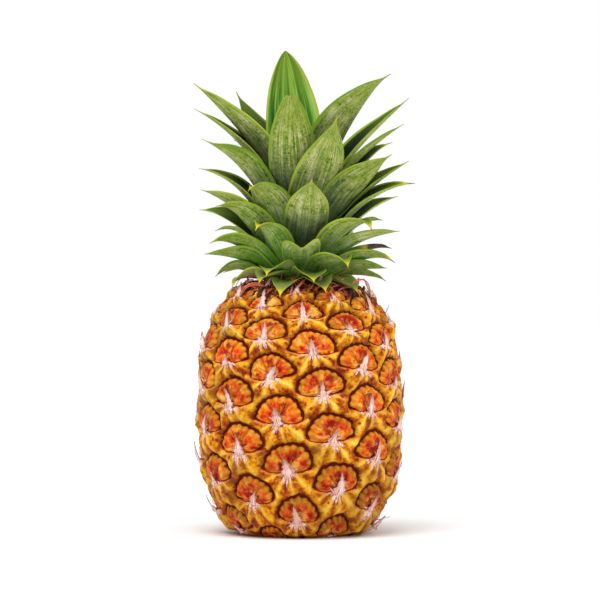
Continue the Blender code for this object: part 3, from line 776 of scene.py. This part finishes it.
def tip_ageing(x, kind, luck):
    """How yellow and how brown a leaf is at the share x of its length."""
    yellow = {"yellow": 0.81, "curled": 0.88, "brown": 0.88, "dead": 0.5, "blunt": 1.0}.get(kind, 0.94)
    brown = {"curled": 0.96, "brown": 0.94, "dead": 0.62, "blunt": 0.993, "broad": 2.0, "yellow": 1.0}
    from_yellow, from_brown = yellow - 0.04 * luck, brown.get(kind, 0.982) - 0.015 * luck
    fade = 0.14 if kind == "yellow" else 0.08
    return (
        min(max((x - from_yellow) / fade, 0), 1) * (0.0 if kind == "broad" else 1.0),
        min(max((x - from_brown) / 0.03, 0), 1),
    )


def make_leaf(number, plan, material):
    draw = Random(300 + number)
    kind = TIP_KINDS.get(number, "spine")
    azimuth, _, _, width, _, _, roll, root_radius, _ = plan
    outward, across = Vector((sin(azimuth), -cos(azimuth), 0)), Vector((cos(azimuth), sin(azimuth), 0))
    upward = Vector((0, 0, 1))
    sway, twist = draw.uniform(-1.2, 1.2) * MM, draw.uniform(-0.14, 0.14)
    phase, wave, luck = draw.uniform(0, tau), draw.uniform(0.2, 0.7) * MM, draw.random()
    hook = {"curled": 1.0, "yellow": 0.6, "brown": 0.4, "dead": 0.5}.get(kind, 0.0) * draw.uniform(0.7, 1.2)
    points, places, ages = [], [], []
    for side in (1, -1):
        for i in range(LEAF_ROWS + 1):
            x = 1 - (1 - i / LEAF_ROWS) ** 1.25
            r, z, tilt = leaf_middle(plan, x)
            # A hooked tip droops and turns back to the leaf
            droop = hook * 90 * MM * max(x - 0.8, 0) ** 2
            inner = upward * sin(tilt) - outward * cos(tilt)
            turn = (roll if azimuth < 0 else -roll) * min(1.0, 3 * x)
            turn += twist * sin(pi * x) + 0.25 * twist * x
            level, face = across * cos(turn) + inner * sin(turn), inner * cos(turn) - across * sin(turn)
            clasp = degrees(min(0.4 * width / root_radius, 1.0))
            deep = 26 if kind == "notched" else 0
            cup = radians(blend(x, [(0, clasp), (0.4, 42 + 0.5 * deep), (0.8, 40 + deep), (1, 60)]))
            bend = width * leaf_width(x, kind) / 2 / sin(cup)
            middle = outward * (r - 0.5 * droop) + upward * (z - droop) + across * sway * sin(pi * x)
            for j in range(LEAF_COLUMNS + 1):
                u = 2 * j / LEAF_COLUMNS - 1
                thick = MM * (0.35 + 0.75 * (1 - u * u) * (1 - 0.5 * x)) * min(1.0, 0.3 + 6 * (1 - x))
                ripple = wave * abs(u) ** 3 * sin(9 * x + phase + u) * sin(pi * x)
                point = middle + level * bend * sin(u * cup)
                point += face * (bend * (1 - cos(u * cup)) + ripple + side * thick / 2)
                points.append(point)
                places.append((x, u, side))
                ages.append((*tip_ageing(x, kind, luck), 1.0 if kind == "dead" else 0.0))
    faces = sheet_faces(LEAF_ROWS + 1, LEAF_COLUMNS + 1)
    size = [(luck, width / MM, leaf_length(plan) / MM)] * len(points)
    fields = {"leaf": places, "leaf_size": size, "leaf_age": ages}
    return show(f"leaf_{number:02d}", points, faces, material, "crown", fields)


def leaf_length(plan):
    line = [Vector(leaf_middle(plan, i / 20)[:2]) for i in range(21)]
    return sum((b - a).length for a, b in zip(line, line[1:]))


def crown_leaf(name, inner_stops, outer_stops):
    """Waxy bromeliad leaf, grown: satin, deep green inside, its outside paled by fine lines of bloom."""
    leaf, shader, add, link = new_material(name, ior=1.45, specular=0.2)
    (along, across, side), (luck, width, length), (yellowed, browned, dead) = (
        add("SeparateXYZ", add("Attribute", out="Vector", attribute_name=field), out=None)
        for field in ("leaf", "leaf_size", "leaf_age")
    )
    half_width = add("Math", width, 0.5, operation="MULTIPLY")
    across_mm = add("Math", across, half_width, operation="MULTIPLY")
    along_mm = add("Math", along, length, operation="MULTIPLY")
    seed = add("Math", luck, 60.0, operation="MULTIPLY")
    flat = add("CombineXYZ", across_mm, along_mm, seed)
    drawn_out = add("CombineXYZ", across_mm, add("Math", along_mm, 0.03, operation="MULTIPLY"), seed)
    # Lines of bloom about 0.7 mm apart, bands 4 mm wide, blotches 6 mm and scars 1.5 mm across
    lines = add("TexNoise", inputs={"Vector": drawn_out, "Scale": 1.4, "Detail": 3})
    bands = add("TexNoise", inputs={"Vector": drawn_out, "Scale": 0.26, "Detail": 2})
    blotch = add("TexNoise", inputs={"Vector": flat, "Scale": 0.16, "Detail": 4, "Roughness": 0.6})
    speck = add("TexNoise", inputs={"Vector": flat, "Scale": 0.7, "Detail": 3})

    # Outside: pale bloom, rubbed off in scars, over painted shade towards the base, blue-grey on the long
    # leaves and green on the short ones
    own_tone = add("Math", luck, 0.5, operation="SUBTRACT")
    tone = -0.075
    for pattern, amount in ((blotch, 0.34), (speck, 0.26), (lines, 0.58), (own_tone, 0.08)):
        tone = add("Math", pattern, amount, tone, operation="MULTIPLY_ADD")
    outer = add("ValToRGB", tone, stops=outer_stops)
    rubbed = add("MapRange", speck, 0.44, 0.36, **SOFTLY)
    rubbed = add("Math", rubbed, add("MapRange", blotch, 0.56, 0.44), operation="MULTIPLY")
    outer = add("MixRGB", add("Math", rubbed, 0.65, operation="MULTIPLY"), outer, "2C5610")
    # Painted shade, darker towards the leaf's base
    shadow = add("Math", bands, 0.5, along, operation="MULTIPLY_ADD")
    base = add("MapRange", shadow, 0.98, 0.42, 0.0, 0.82, **SOFTLY)
    faded = add("MapRange", length, 60.0, 48.0)
    base = add("Math", base, add("MapRange", faded, 0.0, 1.0, 1.0, 0.7), operation="MULTIPLY")
    outer = add("MixRGB", base, outer, add("MixRGB", faded, "384E48", "2C7418"))
    # The short leaves are greener outside: partly their own colour, partly painted light bounced between the
    # leaves
    outer = add("MixRGB", add("Math", faded, 0.3, operation="MULTIPLY"), outer, "4E8E20")
    tone = add("Math", bands, 0.6, add("Math", lines, 0.4, operation="MULTIPLY"), operation="MULTIPLY_ADD")
    inner = add("ValToRGB", tone, stops=inner_stops)
    # The short old leaves have faded inside
    inner = add("MixRGB", add("Math", faded, 0.85, operation="MULTIPLY"), inner, "6E9430")
    inside = add("MapRange", side, -0.1, 0.1)
    blade = add("MixRGB", inside, outer, inner)
    # The lowest leaves have gone a pinkish grey
    greyed = add("MapRange", length, 39.0, 31.0, 0.0, 0.5)
    greyed = add("Math", greyed, add("MapRange", blotch, 0.36, 0.56), operation="MULTIPLY")
    blade = add("MixRGB", greyed, blade, "9C8E70")

    # A yellow-green margin that widens to the tip, then a tip that yellows and dries to brown
    edge = add("Math", half_width, add("Math", across_mm, operation="ABSOLUTE"), operation="SUBTRACT")
    edge = add("Math", edge, add("MapRange", along, 0.0, 1.0, 0.8, 2.8), operation="DIVIDE")
    edge = add("Math", edge, add("MapRange", length, 30.0, 90.0, 0.55, 1.0), operation="DIVIDE")
    margin = add("MapRange", edge, 1.15, 0.35, 0.0, 0.9, **SOFTLY)
    tone = add("MapRange", add("Math", luck, 0.25, bands, operation="MULTIPLY_ADD"), 0.45, 0.75)
    rim = add("MixRGB", tone, "5E9012", "B4C63A")
    blade = add("MixRGB", margin, blade, rim)
    young = add("MapRange", along, 0.6, 0.95, 0.0, 0.5, **SOFTLY)
    blade = add("MixRGB", young, blade, "7E9422")
    mottle = add("Math", add("Math", speck, 0.5, operation="SUBTRACT"), 1.2, operation="MULTIPLY")
    yellow = add("Math", yellowed, mottle, operation="ADD", use_clamp=True)
    yellow = add("Math", yellow, yellowed, operation="MULTIPLY")
    blade = add("MixRGB", yellow, blade, "D8C22C")
    brown = add("Math", mottle, browned, operation="MULTIPLY")
    brown = add("Math", brown, browned, operation="ADD", use_clamp=True)
    dry = add("MixRGB", add("MapRange", speck, 0.4, 0.6), "6A3816", "B87E38")
    dry = add("MixRGB", dead, dry, "3A2420")
    link(add("MixRGB", brown, blade, dry), shader.inputs["Base Color"])
    link(add("MapRange", inside, 0.0, 1.0, 0.6, 0.42), shader.inputs["Roughness"])
    bump = add("Bump", inputs={"Strength": 0.5, "Distance": 0.35 * MM, "Height": lines})
    link(bump, shader.inputs["Normal"])
    return leaf


def turned(name, profile, sides, material, node_name):
    """A piece turned round the fruit's axis."""
    angles = np.arange(sides) * tau / sides
    points = [(r * sin(a), -r * cos(a), z) for r, z in profile for a in angles]
    rows, faces = len(profile), []
    for i in range(rows - 1):
        for k in range(sides):
            a, b = i * sides + k, i * sides + (k + 1) % sides
            faces.append((a, b, b + sides, a + sides))
    faces.append(tuple(range(sides))[::-1])
    faces.append(tuple((rows - 1) * sides + k for k in range(sides)))
    return show(name, points, faces, material, node_name)


def make_stem(material):
    profile = [
        (PLUG_RADIUS - 0.3 * MM, SEAT_Z - 7 * MM),
        (PLUG_RADIUS - 0.3 * MM, SEAT_Z + 0.3 * MM),
        (STEM_RADIUS, SEAT_Z + 0.3 * MM),
        (STEM_RADIUS, SEAT_Z + 4 * MM),
        (STEM_TOP_RADIUS, SEAT_Z + STEM_HEIGHT),
        (1 * MM, SEAT_Z + STEM_HEIGHT + 3 * MM),
    ]
    return turned("stem", profile, 48, material, "crown")


def make_stalk(material):
    profile = [(STALK_RADIUS - 0.6 * MM, STALK_DEPTH)]
    profile += [(STALK_RADIUS, 1.0 * MM), (STALK_RADIUS - 0.3 * MM, 0.0)]
    profile += [(STALK_RADIUS * share, 0.0) for share in (0.8, 0.55, 0.3, 0.08)]
    return turned("cut_stalk", profile[::-1], 64, material, "stalk")


def cut_fibre():
    """Stem cut across and dried: dull fibre ends, pale straw and browned between the bundles."""
    fibre, shader, add, link = new_material("dried_cut_fibre", roughness=0.85)
    where = add("TexCoord", out="Object")
    # Fibre bundles about 0.8 mm across
    bundles = add("TexVoronoi", inputs={"Vector": where, "Scale": 1200}, out="Distance")
    drift = add("TexNoise", inputs={"Vector": where, "Scale": 180, "Detail": 3})
    tone = add("Math", bundles, drift, operation="MULTIPLY")
    colour = add("ValToRGB", tone, stops=[(0.02, "6B4A2A"), (0.15, "A88456"), (0.35, "D2B888")])
    link(colour, shader.inputs["Base Color"])
    bump = add("Bump", inputs={"Strength": 0.7, "Distance": 0.3 * MM, "Height": bundles})
    link(bump, shader.inputs["Normal"])
    return fibre


def make_crown(leaf, bright_leaf):
    for number, plan in enumerate(leaf_plans()):
        make_leaf(number, plan, bright_leaf if TIP_KINDS.get(number) == "broad" else leaf)
    make_stem(leaf)


def make_studio():
    """White floor and surround, a soft key from the front left and a softer fill."""
    scene = bpy.context.scene
    scene.view_settings.view_transform = "Standard"
    world = bpy.data.worlds.new("white_surround")
    scene.world = world
    world.use_nodes = True
    tree = world.node_tree
    surround = tree.nodes["Background"]
    surround.inputs[0].default_value = (1, 1, 1, 1)
    seen = node(tree, "LightPath", out="Is Camera Ray")
    tree.links.new(node(tree, "MapRange", seen, 0.0, 1.0, SURROUND_LIGHT, 1.0), surround.inputs[1])
    mesh = bpy.data.meshes.new("floor")
    corners = [(x * FLOOR_HALF, y * FLOOR_HALF, 0) for x, y in ((-1, -1), (1, -1), (1, 1), (-1, 1))]
    mesh.from_pydata(corners, [], [(0, 1, 2, 3)])
    floor = bpy.data.objects.new("floor", mesh)
    scene.collection.objects.link(floor)
    white = (0.95, 0.95, 0.95, 1)
    paper = new_material("white_paper_sweep", colour=white, roughness=0.9, specular=0.1)[0]
    mesh.materials.append(paper)
    for name, azimuth, elevation, spread, strength in STUDIO_LIGHTS:
        light = bpy.data.lights.new(name, "SUN")
        light.angle = radians(spread)
        light.energy = strength
        lamp = bpy.data.objects.new(name, light)
        lamp.rotation_euler = (radians(90 - elevation), 0, radians(azimuth))
        scene.collection.objects.link(lamp)


def make_camera():
    data = bpy.data.cameras.new("camera")
    data.sensor_width = 36
    data.lens = 36 * CAMERA_DISTANCE / FRAME_WIDTH
    data.clip_end = 50
    camera = bpy.data.objects.new("camera", data)
    camera.location = (0, -CAMERA_DISTANCE, CAMERA_Z)
    camera.rotation_euler = (radians(90), 0, 0)
    bpy.context.scene.collection.objects.link(camera)
    bpy.context.scene.camera = camera


def main():
    make_rind(ripe_rind())
    spear = [(0.34, "A44A3C"), (0.42, "D69A8C"), (0.52, "F2CABE"), (0.66, "FFF2EA")]
    spear_edge = [(0.38, "4A120A"), (0.54, "8A3524"), (0.68, "B8705A")]
    strip = [(0.36, "760C04"), (0.45, "B83010"), (0.54, "E06C44"), (0.64, "FCC8B0")]
    strip_edge = [(0.36, "420810"), (0.48, "A01E0C"), (0.62, "E07C44")]
    strip_paper = bract_paper("withered_bract_strip", strip, strip_edge, 0.55)
    hook = [(0.32, "3A0E0C"), (0.48, "6E2218"), (0.64, "B4604C")]
    hook_edge = [(0.34, "240808"), (0.6, "5A1810")]
    hook_paper = bract_paper("scorched_bract_fibre", hook, hook_edge, 0.2)
    make_bract_tips(bract_paper("papery_bract_spear", spear, spear_edge, 0.45), hook_paper)
    make_dry_strips(strip_paper)
    outer = [(0.34, "40620E"), (0.44, "77922A"), (0.54, "A8B15C"), (0.66, "DCDAA8")]
    # The old leaves' insides: their own deep green, darkened near black as painted shade between the leaves
    leaf = crown_leaf("waxy_crown_leaf", [(0.36, "0C1A08"), (0.5, "14280C"), (0.64, "28441A")], outer)
    inner = [(0.41, "265A0E"), (0.48, "4A861A"), (0.54, "76A836"), (0.61, "A8CA68")]
    make_crown(leaf, crown_leaf("fresh_inner_leaf", inner, outer))
    make_stalk(cut_fibre())
    make_studio()
    make_camera()


main()
